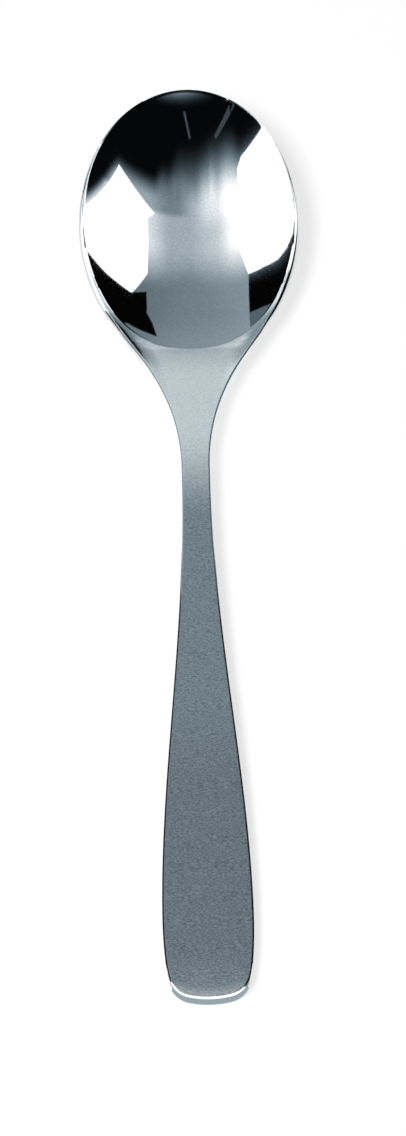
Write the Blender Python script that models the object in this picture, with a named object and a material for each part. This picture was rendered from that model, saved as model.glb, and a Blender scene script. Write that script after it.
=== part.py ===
"""Coffee spoon in stainless steel: a dished bowl piece and a flat handle, joined in the neck.

The spoon lies on its back on the plane z = 0, with the tip of the bowl at +Y, the end of the
handle at -Y and +Z up. The origin is on the table, under the middle of the spoon's length.
The handle carries a tongue that sits in a socket in the bowl piece's neck.
"""

from math import atan, cos, pi, radians, sin, sqrt, tan

import bmesh
import bpy

MM = 0.001

# Plan sizes
LENGTH = 120.0 * MM               # tip of the bowl to the end of the handle
BOWL_PIECE_LENGTH = 52.7 * MM     # tip of the bowl to the joint in the neck
BOWL_WIDTH = 28.1 * MM            # outside the rim, at the widest place
BOWL_OVAL_LENGTH = 36.9 * MM      # length of the oval that the rim follows
RIM_WIDTH = 0.5 * MM              # narrow rim between the outline and the dish
HEEL_LAND = 2.1 * MM              # from the oval's back end forward to the heel line
FLANK_ANGLE = radians(38)         # straight flanks that lead from the bowl to the neck
NECK_FILLET = 28.0 * MM           # radius of the curve from flank to neck
NECK_WIDTH = 3.64 * MM
HANDLE_WIDTH = 11.1 * MM          # at the widest place, near the end
HANDLE_WIDEST_FROM_END = 10.0 * MM
END_WIDTH = 9.5 * MM              # between the end's two corners, before they are rounded
END_ARC_RADIUS = 11.5 * MM        # shallow curve of the end
END_CORNER = 1.4 * MM             # how far each rounded corner reaches

# Heights above the table, measured on the upper side
RIM_TIP_HEIGHT = 8.6 * MM
RIM_MIDDLE_HEIGHT = 7.4 * MM      # rim at the bowl's widest place
NECK_HEIGHT = 4.4 * MM            # at the joint
END_HEIGHT = 2.6 * MM             # the end lies flat on the table, so this is its thickness too

# Thicknesses
FLOOR_THICKNESS = 1.4 * MM        # under the dish's lowest place
RIM_THICKNESS = 1.0 * MM
NECK_THICKNESS = 2.8 * MM         # at the joint
EDGE_ROUND = 0.3 * MM             # radius on all outer edges
REST_DRESSING = 0.08 * MM         # depth by which the bowl's back is ground flat to rest on

# Joint in the neck
TONGUE_WIDTH = 1.5 * MM
TONGUE_HEIGHT = 1.1 * MM
TONGUE_LENGTH = 4.0 * MM
FIT_GAP = 0.3 * MM                # solder gap all round the tongue and between the two ends

# Shape of the dish
DISH_STEEPNESS = 0.3              # sine of the dish wall's angle in its own scale: 0 parabola, 1 half round
HEEL_FULLNESS = 0.9               # 1 gives an oval heel, less gives a straighter heel line
HEEL_CORNER_ANGLE = radians(160)  # place on the dish edge, counted from the tip, where the heel line starts

# Wings, the raised strips on both sides of the neck that lead from its flat to the rim
WING_RISE = 0.25                  # height of a wing's edge for each unit of the wing's width
WING_FADE = 6.0 * MM              # length from the joint over which the wings grow
SHOULDER_START = 36.0 * MM        # from the tip to where the wings' edges start to rise to the rim
NECK_FLAT_SHARE = 0.8             # share of the half width that is flat in the neck
HEEL_FLAT_SHARE = 0.635           # the same beside the heel
FLAT_TAPER = 8.0 * MM             # length over which the flat passes from one share to the other
HEEL_DIP = 0.18 * MM              # depth by which the neck's flat bends down towards the heel line
DIP_LENGTH = 4.2 * MM             # length over which it bends

# Fineness of the facets
RIM_ANGLE_STEP = radians(5)
DISH_RINGS = (0.12, 0.26, 0.40, 0.54, 0.67, 0.79, 0.90, 1.0)
LAND_STEPS = 2
NECK_ROWS = 12
HANDLE_STATIONS = 18
END_ARC_POINTS = 7
CORNER_SEGMENTS = 5
ROUND_SEGMENTS = 2
TOUCHING = 0.001 * MM             # points closer than this are at one place
SHARP_ANGLE = radians(30)         # edges that bend more than this are drawn sharp

# Finishes
MIRROR_COLOUR, MIRROR_ROUGHNESS = (0.80, 0.84, 0.86), 0.07
SATIN_COLOUR, SATIN_ROUGHNESS = (0.50, 0.56, 0.59), 0.34

# Places that follow from the sizes
TIP_Y = LENGTH / 2
END_Y = -LENGTH / 2
JOINT_Y = TIP_Y - BOWL_PIECE_LENGTH
WIDEST_Y = TIP_Y - BOWL_OVAL_LENGTH / 2
DISH_TIP_Y = TIP_Y - RIM_WIDTH
HEEL_Y = TIP_Y - BOWL_OVAL_LENGTH + HEEL_LAND


def smooth_step(share):
    share = min(max(share, 0.0), 1.0)
    return share * share * (3 - 2 * share)


def soft_step(share):
    share = min(max(share, 0.0), 1.0)
    return share ** 3 * (10 - 15 * share + 6 * share * share)


def mix(low, high, share):
    return low + (high - low) * share


# Outline of the bowl piece, seen from above: an oval, straight flanks, a fillet and the neck
OVAL_HALF_WIDTH = BOWL_WIDTH / 2
OVAL_HALF_LENGTH = BOWL_OVAL_LENGTH / 2
FLANK_TURN = atan(OVAL_HALF_LENGTH / OVAL_HALF_WIDTH * tan(FLANK_ANGLE))
FLANK_START = OVAL_HALF_LENGTH * sin(FLANK_TURN)
FLANK_START_HALF_WIDTH = OVAL_HALF_WIDTH * cos(FLANK_TURN)
FILLET_HALF_WIDTH = NECK_WIDTH / 2 + NECK_FILLET * (1 - cos(FLANK_ANGLE))
FILLET_START = FLANK_START + (FLANK_START_HALF_WIDTH - FILLET_HALF_WIDTH) / tan(FLANK_ANGLE)
FILLET_END = FILLET_START + NECK_FILLET * sin(FLANK_ANGLE)


def bowl_half_width(y):
    """Half the outline's width at y, on the handle's side of the bowl's widest place."""
    behind = WIDEST_Y - y
    if behind < FLANK_START:
        return OVAL_HALF_WIDTH * sqrt(1 - (behind / OVAL_HALF_LENGTH) ** 2)
    if behind < FILLET_START:
        return FLANK_START_HALF_WIDTH - (behind - FLANK_START) * tan(FLANK_ANGLE)
    if behind < FILLET_END:
        return NECK_WIDTH / 2 + NECK_FILLET - sqrt(NECK_FILLET ** 2 - (FILLET_END - behind) ** 2)
    return NECK_WIDTH / 2


def handle_half_width(y):
    """Half the handle's width at y: a smooth taper to the widest place, then a little narrower."""
    widest_y = END_Y + HANDLE_WIDEST_FROM_END
    joint_half_width = bowl_half_width(JOINT_Y)
    if y > widest_y:
        share = smooth_step((JOINT_Y - y) / (JOINT_Y - widest_y))
        return mix(joint_half_width, HANDLE_WIDTH / 2, share)
    share = (widest_y - y) / (widest_y - END_CORNER_Y)
    return mix(HANDLE_WIDTH / 2, END_WIDTH / 2, share * share)


END_CORNER_Y = END_Y + END_ARC_RADIUS - sqrt(END_ARC_RADIUS ** 2 - (END_WIDTH / 2) ** 2)


# Side view: the handle's straight line, the rim's straight line and a soft sweep between them
def handle_top(y):
    return mix(END_HEIGHT, NECK_HEIGHT, (y - END_Y) / (JOINT_Y - END_Y))


def handle_underside(y):
    return mix(0.0, NECK_HEIGHT - NECK_THICKNESS, (y - END_Y) / (JOINT_Y - END_Y))


def rim_top(y):
    return mix(RIM_MIDDLE_HEIGHT, RIM_TIP_HEIGHT, (y - WIDEST_Y) / (TIP_Y - WIDEST_Y))


def shoulder(y):
    """0 in the neck, 1 from the bowl's widest place on."""
    return soft_step((y - (WIDEST_Y - FILLET_END)) / FILLET_END)


def flat_share(y):
    """Share of the half width, at y, that belongs to the neck's flat."""
    return mix(HEEL_FLAT_SHARE, NECK_FLAT_SHARE, smooth_step((HEEL_Y - y) / FLAT_TAPER))


def side_top(y):
    """Height of the outline's edge: the neck, then the wings, then the rim."""
    if y >= WIDEST_Y:
        return rim_top(y)
    wing_width = bowl_half_width(y) * (1 - flat_share(y))
    wing = WING_RISE * wing_width * smooth_step((y - JOINT_Y) / WING_FADE)
    shoulder_y = TIP_Y - SHOULDER_START
    rise = soft_step((y - shoulder_y) / (WIDEST_Y - shoulder_y))
    return mix(handle_top(y) + wing, rim_top(y), rise)


def neck_share(x, y):
    """1 on the neck's flat middle, falling to 0 at the outline and at the bowl's widest place."""
    if y >= WIDEST_Y:
        return 0.0
    flat = flat_share(y)
    across = max(0.0, (abs(x) / bowl_half_width(y) - flat) / (1 - flat))
    return (1 - across * across) * (1 - smooth_step((y - HEEL_Y) / (WIDEST_Y - HEEL_Y)))


def sheet_top(x, y):
    """Upper side outside the dish: the neck runs to the heel, its wings rise to the edge."""
    dip = HEEL_DIP * max(0.0, 1 - max(0.0, HEEL_Y - y) / DIP_LENGTH) ** 2
    return mix(side_top(y), handle_top(y) - dip, neck_share(x, y))


def sheet_thickness(x, y):
    side = mix(NECK_THICKNESS, RIM_THICKNESS, shoulder(y))
    return mix(side, NECK_THICKNESS, neck_share(x, y))


def sheet_underside(x, y):
    return sheet_top(x, y) - sheet_thickness(x, y)


# Dish: rings that shrink from its edge to its lowest place
def dish_edge(angle):
    """Point of the dish's edge, angle counted from the tip towards +X."""
    half_width = OVAL_HALF_WIDTH - RIM_WIDTH
    if cos(angle) >= 0:
        return half_width * sin(angle), WIDEST_Y + (DISH_TIP_Y - WIDEST_Y) * cos(angle)
    power = mix(1.0, HEEL_FULLNESS, smooth_step(2 * abs(angle) / pi - 1))
    side = 1 if angle > 0 else -1
    x = side * half_width * abs(sin(angle)) ** power
    return x, WIDEST_Y - (WIDEST_Y - HEEL_Y) * abs(cos(angle)) ** power


def outline_beside(angle):
    """Point of the outline that belongs to the dish edge's point at this angle."""
    if cos(angle) >= 0:
        return OVAL_HALF_WIDTH * sin(angle), WIDEST_Y + OVAL_HALF_LENGTH * cos(angle)
    x, y = dish_edge(angle)
    return (1 if x > 0 else -1) * bowl_half_width(y), y


def lowest_place():
    """Y of the dish's lowest place, where the rise to the tip and to the heel curve alike."""
    tip_rise = sheet_top(0, DISH_TIP_Y) - FLOOR_THICKNESS
    heel_rise = sheet_top(0, HEEL_Y) - FLOOR_THICKNESS
    return HEEL_Y + (DISH_TIP_Y - HEEL_Y) / (1 + sqrt(tip_rise / heel_rise))


def dish_rise(ring):
    """Share of the dish's height at a ring, 0 in the lowest place and 1 at the edge."""
    steep = DISH_STEEPNESS
    return (1 - sqrt(1 - (steep * ring) ** 2)) / (1 - sqrt(1 - steep ** 2))


def dish_point(edge, ring, upper):
    centre_y = lowest_place()
    x = edge[0] * ring
    y = centre_y + (edge[1] - centre_y) * ring
    if upper:
        return x, y, mix(FLOOR_THICKNESS, sheet_top(*edge), dish_rise(ring))
    return x, y, max(0.0, mix(-REST_DRESSING, sheet_underside(*edge), dish_rise(ring)))


# Mesh helpers
def new_object(name, mesh_data, material):
    mesh = bpy.data.meshes.new(name)
    bmesh.ops.recalc_face_normals(mesh_data, faces=mesh_data.faces)
    mesh_data.to_mesh(mesh)
    mesh_data.free()
    mesh.materials.append(material)
    mesh.shade_smooth()
    mesh.set_sharp_from_angle(angle=SHARP_ANGLE)
    piece = bpy.data.objects.new(name, mesh)
    bpy.context.scene.collection.objects.link(piece)
    return piece


def steel(name, colour, roughness):
    material = bpy.data.materials.new(name)
    material.use_nodes = True
    shader = material.node_tree.nodes["Principled BSDF"]
    shader.inputs["Base Color"].default_value = (*colour, 1)
    shader.inputs["Metallic"].default_value = 1
    shader.inputs["Roughness"].default_value = roughness
    return material


def skin(mesh_data, rows, closed=False):
    """Quads between each row of vertices and the next."""
    for row, following in zip(rows, rows[1:]):
        count = len(row)
        for i in range(count if closed else count - 1):
            j = (i + 1) % count
            mesh_data.faces.new((row[i], row[j], following[j], following[i]))


def angles_between(first, last, step):
    count = max(1, round((last - first) / step))
    return [mix(first, last, i / count) for i in range(count + 1)]


def edge_profile(thickness):
    """Inset and depth of the points round an outer edge, from the upper face to the lower one."""
    quarter = [i / ROUND_SEGMENTS * pi / 2 for i in range(ROUND_SEGMENTS + 1)]
    upper = [(EDGE_ROUND * (1 - sin(turn)), EDGE_ROUND * (1 - cos(turn))) for turn in quarter]
    lower = [(inset, thickness - depth) for inset, depth in reversed(upper)]
    return upper + lower


# Bowl piece
def bowl_rows():
    """Plan of the sheet round the dish: rows that run from the right edge to the left one.

    Each row is a list of plan points, from the outline's right side to its left side. The rows
    start at the heel line and run down the neck to the joint. All points but the two on the
    outline keep their share of the width between the rounded edges.
    """
    corner = dish_edge(HEEL_CORNER_ANGLE)
    corner_half_width = bowl_half_width(corner[1])
    heel = [dish_edge(angle) for angle in angles_between(HEEL_CORNER_ANGLE, pi, RIM_ANGLE_STEP)]
    flat = corner_half_width - EDGE_ROUND
    land_x = [mix(flat, corner[0], i / LAND_STEPS) for i in range(1, LAND_STEPS)]
    half = [(x / flat, 0.0) for x in land_x] + [(x / flat, y - corner[1]) for x, y in heel]
    inner = half + [(-share, bow) for share, bow in reversed(half[:-1])]
    rows = []
    for i in range(NECK_ROWS + 1):
        along = i / NECK_ROWS
        y = mix(corner[1], JOINT_Y + FIT_GAP / 2, along)
        half_width = bowl_half_width(y)
        flat = half_width - EDGE_ROUND
        middle = [(share * flat, y + bow * (1 - along)) for share, bow in inner]
        rows.append([(half_width, y)] + middle + [(-half_width, y)])
    return rows


def inset_towards(outer, inner, distance):
    across = (inner[0] - outer[0], inner[1] - outer[1])
    length = sqrt(across[0] ** 2 + across[1] ** 2)
    return outer[0] + across[0] / length * distance, outer[1] + across[1] / length * distance


def make_bowl(material):
    data = bmesh.new()
    angles = angles_between(-HEEL_CORNER_ANGLE, HEEL_CORNER_ANGLE, RIM_ANGLE_STEP)
    pairs = [(dish_edge(angle), outline_beside(angle)) for angle in angles]
    rows = bowl_rows()
    heel_count = len(rows[0]) - 2 * LAND_STEPS

    # Outer edge, from the joint on the left side, round the tip, to the joint on the right side
    left_side = [(row[-1], row[-2]) for row in reversed(rows[1:])]
    right_side = [(row[0], row[1]) for row in rows[1:]]
    border = left_side + [(outer, inner) for inner, outer in pairs] + right_side
    profiles = []
    for outer, inner in border:
        top = sheet_top(*outer)
        column = []
        for inset, depth in edge_profile(sheet_thickness(*outer)):
            x, y = inset_towards(outer, inner, inset)
            column.append(data.verts.new((x, y, top - depth)))
        profiles.append(column)
    skin(data, profiles)

    joint_loops = []
    for upper, height, last in ((True, sheet_top, 0), (False, sheet_underside, -1)):
        # Land between the dish's edge and the outer edge
        inner_edge = [data.verts.new((*edge, height(*edge))) for edge, _ in pairs]
        around = profiles[len(left_side):len(left_side) + len(pairs)]
        outer_edge = [column[last] for column in around]
        land_rows = [outer_edge]
        for step in range(1, LAND_STEPS):
            row = []
            for edge, outer in pairs:
                start = inset_towards(outer, edge, EDGE_ROUND)
                x, y = (mix(start[k], edge[k], step / LAND_STEPS) for k in (0, 1))
                row.append(data.verts.new((x, y, height(x, y))))
            land_rows.append(row)
        land_rows.append(inner_edge)
        skin(data, land_rows)

        # Neck, from the heel line to the joint
        heel_points = rows[0][LAND_STEPS + 1:-LAND_STEPS - 1]
        heel = [data.verts.new((x, y, height(x, y))) for x, y in heel_points]
        first = [row[-1] for row in land_rows] + heel + [row[0] for row in reversed(land_rows)]
        neck_rows = [first]
        for i, row in enumerate(rows[1:]):
            right = profiles[len(left_side) + len(pairs) + i][last]
            left = profiles[len(left_side) - 1 - i][last]
            middle = [data.verts.new((x, y, height(x, y))) for x, y in row[1:-1]]
            neck_rows.append([right] + middle + [left])
        skin(data, neck_rows)
        joint_loops.append(neck_rows[-1])

        # Dish, in rings from its edge to its lowest place
        edge_loop = inner_edge + heel
        edge_plan = [edge for edge, _ in pairs] + heel_points
        rings = [edge_loop]
        for ring in reversed(DISH_RINGS[:-1]):
            rings.append([data.verts.new(dish_point(edge, ring, upper)) for edge in edge_plan])
        skin(data, rings, closed=True)
        data.faces.new(rings[-1])

    # Flat end at the joint
    end_loop = joint_loops[0] + profiles[0][1:-1] + joint_loops[1][::-1] + profiles[-1][-2:0:-1]
    data.faces.new(end_loop)
    print("bowl: dish depth %.2f mm, %d points in the heel line" % (
        (RIM_MIDDLE_HEIGHT - FLOOR_THICKNESS) / MM, heel_count))
    return new_object("bowl", data, material)


# Handle
def handle_outline():
    """Plan of the handle, from the joint's right corner round the end to its left corner."""
    first_y = JOINT_Y - FIT_GAP / 2
    last_y = END_CORNER_Y + 2 * END_CORNER
    side_y = [mix(first_y, last_y, i / HANDLE_STATIONS) for i in range(HANDLE_STATIONS + 1)]
    side = [(handle_half_width(y), y) for y in side_y] + [(END_WIDTH / 2, END_CORNER_Y)]
    reach = END_WIDTH / 2 - 2 * END_CORNER
    arc_x = [mix(reach, -reach, i / (END_ARC_POINTS - 1)) for i in range(END_ARC_POINTS)]
    arc = [(x, END_Y + END_ARC_RADIUS - sqrt(END_ARC_RADIUS ** 2 - x * x)) for x in arc_x]
    return side + arc + [(-x, y) for x, y in reversed(side)]


def make_handle(material):
    data = bmesh.new()
    plan = data.faces.new([data.verts.new((x, y, 0)) for x, y in handle_outline()])
    corners = [v for v in plan.verts if abs(v.co.y - END_CORNER_Y) < TOUCHING]
    bmesh.ops.bevel(data, geom=corners, offset=END_CORNER, segments=CORNER_SEGMENTS, profile=0.5,
                    affect="VERTICES")
    plan = data.faces[:][0]
    raised = bmesh.ops.extrude_face_region(data, geom=[plan], use_keep_orig=True)["geom"]
    for vert in (item for item in raised if isinstance(item, bmesh.types.BMVert)):
        vert.co.z = handle_top(vert.co.y)
    lower = [v for v in data.verts if v.co.z == 0]
    for vert in lower:
        vert.co.z = handle_underside(vert.co.y)
    joint_y = JOINT_Y - FIT_GAP / 2
    rounded = []
    for edge in data.edges:
        ends = [v.co for v in edge.verts]
        at_joint = all(abs(co.y - joint_y) < TOUCHING for co in ends)
        upright = (ends[0].xy - ends[1].xy).length < TOUCHING
        if not at_joint and not upright:
            rounded.append(edge)
    bmesh.ops.bevel(data, geom=rounded, offset=EDGE_ROUND, segments=ROUND_SEGMENTS, profile=0.5,
                    affect="EDGES", clamp_overlap=True)
    return new_object("handle", data, material)


# Tongue and socket
def box(name, width, height, first_y, last_y, middle_z):
    data = bmesh.new()
    bmesh.ops.create_cube(data, size=1)
    for vert in data.verts:
        vert.co.x *= width
        vert.co.y = mix(first_y, last_y, vert.co.y + 0.5)
        vert.co.z = middle_z + vert.co.z * height
    mesh = bpy.data.meshes.new(name)
    data.to_mesh(mesh)
    data.free()
    shape = bpy.data.objects.new(name, mesh)
    shape.hide_render = True
    shape.display_type = "WIRE"
    bpy.context.scene.collection.objects.link(shape)
    return shape


def combine(piece, shape, operation):
    modifier = piece.modifiers.new(shape.name, "BOOLEAN")
    modifier.object = shape
    modifier.operation = operation
    modifier.solver = "EXACT"


def join_in_neck(bowl, handle):
    middle_z = NECK_HEIGHT - NECK_THICKNESS / 2
    root_y = JOINT_Y - TONGUE_LENGTH / 2
    tip_y = JOINT_Y + TONGUE_LENGTH
    tongue = box("tongue", TONGUE_WIDTH, TONGUE_HEIGHT, root_y, tip_y, middle_z)
    combine(handle, tongue, "UNION")
    width = TONGUE_WIDTH + 2 * FIT_GAP
    height = TONGUE_HEIGHT + 2 * FIT_GAP
    socket = box("socket", width, height, root_y, tip_y + FIT_GAP, middle_z)
    combine(bowl, socket, "DIFFERENCE")


def main():
    for old in list(bpy.data.objects):
        bpy.data.objects.remove(old, do_unlink=True)
    bowl = make_bowl(steel("mirror_steel", MIRROR_COLOUR, MIRROR_ROUGHNESS))
    handle = make_handle(steel("satin_steel", SATIN_COLOUR, SATIN_ROUGHNESS))
    join_in_neck(bowl, handle)


main()
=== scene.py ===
# %% [markdown]
# # A coffee spoon in polished steel
# The spoon is two pieces of stainless steel: a bowl with a short neck, polished like a mirror, and a
# flat handle with a satin finish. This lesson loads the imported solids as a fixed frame, lays a fine
# smooth skin over each of them, gives both their finish, and sets up a small studio round them.

# %% Load the frame
from math import atan, atan2, cos, exp, hypot, pi, radians, sin, sqrt, tan

import bpy
from mathutils import Matrix, Vector


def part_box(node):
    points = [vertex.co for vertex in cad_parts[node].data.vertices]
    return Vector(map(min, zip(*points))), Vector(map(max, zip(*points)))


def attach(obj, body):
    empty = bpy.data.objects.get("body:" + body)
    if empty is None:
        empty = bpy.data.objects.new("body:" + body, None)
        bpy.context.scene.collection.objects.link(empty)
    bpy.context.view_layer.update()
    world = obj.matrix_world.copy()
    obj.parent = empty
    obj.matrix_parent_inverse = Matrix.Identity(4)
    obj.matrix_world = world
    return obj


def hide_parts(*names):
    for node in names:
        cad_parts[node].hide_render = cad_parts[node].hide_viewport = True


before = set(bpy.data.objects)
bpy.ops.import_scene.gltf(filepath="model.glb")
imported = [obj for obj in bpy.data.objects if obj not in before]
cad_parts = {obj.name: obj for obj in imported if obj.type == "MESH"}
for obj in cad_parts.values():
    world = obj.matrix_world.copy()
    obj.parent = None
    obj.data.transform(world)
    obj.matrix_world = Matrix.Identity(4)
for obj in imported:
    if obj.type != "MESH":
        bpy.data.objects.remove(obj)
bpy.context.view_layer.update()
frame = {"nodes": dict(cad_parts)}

print("frame: nodes", ", ".join(frame["nodes"]))

# %% [markdown]
# ## The spoon's sizes
# A mirror shows every dent, so the skin can't be pushed into place by eye. The solids follow a few real
# sizes, and the skin follows them too, with finer steps. Only the flanks, the wings, the edges and the
# heel are trimmed by fractions of a millimetre, because the reflections show them so. The boxes of the
# two solids then show whether the main sizes are still those of the frame.

# %% Sizes of the spoon
MM = 0.001
LENGTH = 120.0 * MM
BOWL_PIECE_LENGTH = 52.7 * MM     # tip of the bowl to the joint in the neck
BOWL_WIDTH = 28.1 * MM
BOWL_OVAL_LENGTH = 36.9 * MM
RIM_WIDTH = 0.5 * MM
HEEL_LAND = 2.1 * MM              # from the oval's back end forward to the heel line
FLANK_ANGLE = radians(35.5)       # straight flanks that lead from the bowl to the neck
NECK_FILLET = 25.0 * MM           # radius of the curve from flank to neck
NECK_WIDTH = 3.64 * MM
HANDLE_WIDTH = 11.1 * MM          # at the widest place, near the end
HANDLE_WIDEST_FROM_END = 10.0 * MM
TAPER_DELAY = 1.06                # more than 1 keeps the handle slim for longer below the joint
END_WIDTH = 9.5 * MM              # between the end's two corners, before they are rounded
END_ARC_RADIUS = 11.5 * MM
RIM_TIP_HEIGHT = 8.6 * MM
RIM_MIDDLE_HEIGHT = 7.4 * MM      # rim at the bowl's widest place
NECK_HEIGHT = 4.4 * MM            # at the joint
END_HEIGHT = 2.6 * MM
FLOOR_THICKNESS = 1.4 * MM        # under the dish's lowest place
RIM_THICKNESS = 1.0 * MM
NECK_THICKNESS = 2.8 * MM
REST_DRESSING = 0.08 * MM         # depth by which the bowl's back is ground flat to rest on
DISH_STEEPNESS = 0.3              # 0 gives a parabola, 1 gives a half round
HEEL_FULLNESS = 0.9               # 1 gives an oval heel, less gives a straighter heel line
HEEL_CORNER = radians(160)        # where the heel line starts, counted round the dish from the tip
WING_RISE = 0.18                  # height of a wing's edge for each unit of the wing's width
WING_START_Y = 17.0 * MM          # the wings grow from here towards the tip
WING_FADE = 8.0 * MM              # and over this length
SHOULDER_START = 36.0 * MM        # from the tip to where the wings' edges start to rise to the rim
FLAT_TAPER = 8.0 * MM             # length over which the flat's share changes from neck to heel
NECK_FLAT_SHARE = 0.8             # share of the half width that is flat in the neck
HEEL_FLAT_SHARE = 0.635           # the same beside the heel
HEEL_DIP = 0.24 * MM              # depth by which the flat bends down towards the heel line
DIP_LENGTH = 4.2 * MM             # length over which it bends
EDGE_THINS_Y = 20.0 * MM          # from here towards the tip the edge gets thinner
EDGE_THINS_LENGTH = 8.0 * MM      # and over this length it has become the rim

TIP_Y = LENGTH / 2
END_Y = -LENGTH / 2
JOINT_Y = TIP_Y - BOWL_PIECE_LENGTH
WIDEST_Y = TIP_Y - BOWL_OVAL_LENGTH / 2
HEEL_Y = TIP_Y - BOWL_OVAL_LENGTH + HEEL_LAND
HALF_WIDTH = BOWL_WIDTH / 2
HALF_LENGTH = BOWL_OVAL_LENGTH / 2

for node in ("bowl", "handle"):
    low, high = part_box(node)
    print(node, "box in mm:", [round((b - a) / MM, 2) for a, b in zip(low, high)])
print("sizes here in mm: bowl width %.2f, handle width %.2f" % (BOWL_WIDTH / MM, HANDLE_WIDTH / MM))

# %% [markdown]
# ## The outline from above
# From above the bowl is an oval that runs into straight flanks, a fillet and the neck, and the handle is
# a strip that swells towards its end. A list of points would draw it as well, but one small function for
# each piece is easier to change, and it gives the width at any place.

# %% Plan outline
FLANK_TURN = atan(HALF_LENGTH / HALF_WIDTH * tan(FLANK_ANGLE))
FLANK_START = HALF_LENGTH * sin(FLANK_TURN)
FLANK_START_HALF_WIDTH = HALF_WIDTH * cos(FLANK_TURN)
FILLET_HALF_WIDTH = NECK_WIDTH / 2 + NECK_FILLET * (1 - cos(FLANK_ANGLE))
FILLET_START = FLANK_START + (FLANK_START_HALF_WIDTH - FILLET_HALF_WIDTH) / tan(FLANK_ANGLE)
FILLET_END = FILLET_START + NECK_FILLET * sin(FLANK_ANGLE)
END_CORNER_Y = END_Y + END_ARC_RADIUS - sqrt(END_ARC_RADIUS ** 2 - (END_WIDTH / 2) ** 2)


def mix(low, high, share):
    return low + (high - low) * share


def smooth_step(share):
    share = min(max(share, 0.0), 1.0)
    return share * share * (3 - 2 * share)


def soft_step(share):
    share = min(max(share, 0.0), 1.0)
    return share ** 3 * (10 - 15 * share + 6 * share * share)


def bowl_half_width(y):
    """Half the outline's width at y, on the handle's side of the bowl's widest place."""
    behind = WIDEST_Y - y
    if behind < FLANK_START:
        return HALF_WIDTH * sqrt(1 - (behind / HALF_LENGTH) ** 2)
    if behind < FILLET_START:
        return FLANK_START_HALF_WIDTH - (behind - FLANK_START) * tan(FLANK_ANGLE)
    if behind < FILLET_END:
        return NECK_WIDTH / 2 + NECK_FILLET - sqrt(NECK_FILLET ** 2 - (FILLET_END - behind) ** 2)
    return NECK_WIDTH / 2


def handle_half_width(y):
    widest_y = END_Y + HANDLE_WIDEST_FROM_END
    if y > widest_y:
        share = smooth_step(((JOINT_Y - y) / (JOINT_Y - widest_y)) ** TAPER_DELAY)
        return mix(bowl_half_width(JOINT_Y), HANDLE_WIDTH / 2, share)
    return mix(HANDLE_WIDTH / 2, END_WIDTH / 2, ((widest_y - y) / (widest_y - END_CORNER_Y)) ** 2)


print("half width at the heel: %.2f mm" % (bowl_half_width(HEEL_Y) / MM))

# %% [markdown]
# ## The line from the side
# From the side the handle and the neck are one straight strip. Beside the heel the strip's edges rise as
# two wings, which lead on to the rim. Sculpting could raise them, but a mirror would show every stroke.
# So the height is a function of the place too: soft steps lead from the flat neck to wings and rim.

# %% Side view
def handle_top(y):
    return mix(END_HEIGHT, NECK_HEIGHT, (y - END_Y) / (JOINT_Y - END_Y))


def handle_underside(y):
    return mix(0.0, NECK_HEIGHT - NECK_THICKNESS, (y - END_Y) / (JOINT_Y - END_Y))


def rim_top(y):
    return mix(RIM_MIDDLE_HEIGHT, RIM_TIP_HEIGHT, (y - WIDEST_Y) / (TIP_Y - WIDEST_Y))


def flat_part(y):
    """Share of the half width that is flat."""
    return mix(HEEL_FLAT_SHARE, NECK_FLAT_SHARE, smooth_step((HEEL_Y - y) / FLAT_TAPER))


def side_top(y):
    """Height of the outline's edge: the neck, then the wings, then the rim."""
    if y >= WIDEST_Y:
        return rim_top(y)
    wing_width = bowl_half_width(y) * (1 - flat_part(y))
    wing = WING_RISE * wing_width * smooth_step((y - WING_START_Y) / WING_FADE)
    shoulder_y = TIP_Y - SHOULDER_START
    return mix(handle_top(y) + wing, rim_top(y), soft_step((y - shoulder_y) / (WIDEST_Y - shoulder_y)))


def neck_share(x, y):
    """1 on the neck's flat middle, falling to 0 at the outline and at the bowl's widest place."""
    if y >= WIDEST_Y:
        return 0.0
    flat = flat_part(y)
    across = max(0.0, (abs(x) / bowl_half_width(y) - flat) / (1 - flat))
    return (1 - across * across) * (1 - smooth_step((y - HEEL_Y) / (WIDEST_Y - HEEL_Y)))


def sheet_top(x, y):
    dip = HEEL_DIP * max(0.0, 1 - max(0.0, HEEL_Y - y) / DIP_LENGTH) ** 2
    return mix(side_top(y), handle_top(y) - dip, neck_share(x, y))


def sheet_underside(x, y):
    side = mix(NECK_THICKNESS, RIM_THICKNESS, smooth_step((y - EDGE_THINS_Y) / EDGE_THINS_LENGTH))
    return sheet_top(x, y) - mix(side, NECK_THICKNESS, neck_share(x, y))


print("rim height in mm: widest place %.2f, tip %.2f" % (rim_top(WIDEST_Y) / MM, rim_top(TIP_Y) / MM))

# %% [markdown]
# ## Lines of the dish
# The dish is pressed into the sheet. Its edge is an oval with a fuller heel, and from there the wall
# falls like a parabola to one lowest place, nearer the handle than the tip. A scaled sphere would do for
# an even dish, but this one is lopsided, so each point of its edge has its own curve down to that place.
# The rim outside it is worn narrow at the tip and is widest at the sides.

# %% Dish
SIDE_RIM_WIDTH = 0.56 * MM
TIP_RIM_WIDTH = 0.2 * MM
RIM_TAPER = 0.8                   # share of the way to the tip over which the rim narrows
RELAX_PASSES = 120


def rim_width(y):
    share = smooth_step((y - WIDEST_Y) / (RIM_TAPER * HALF_LENGTH))
    return mix(SIDE_RIM_WIDTH, TIP_RIM_WIDTH, share)


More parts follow.
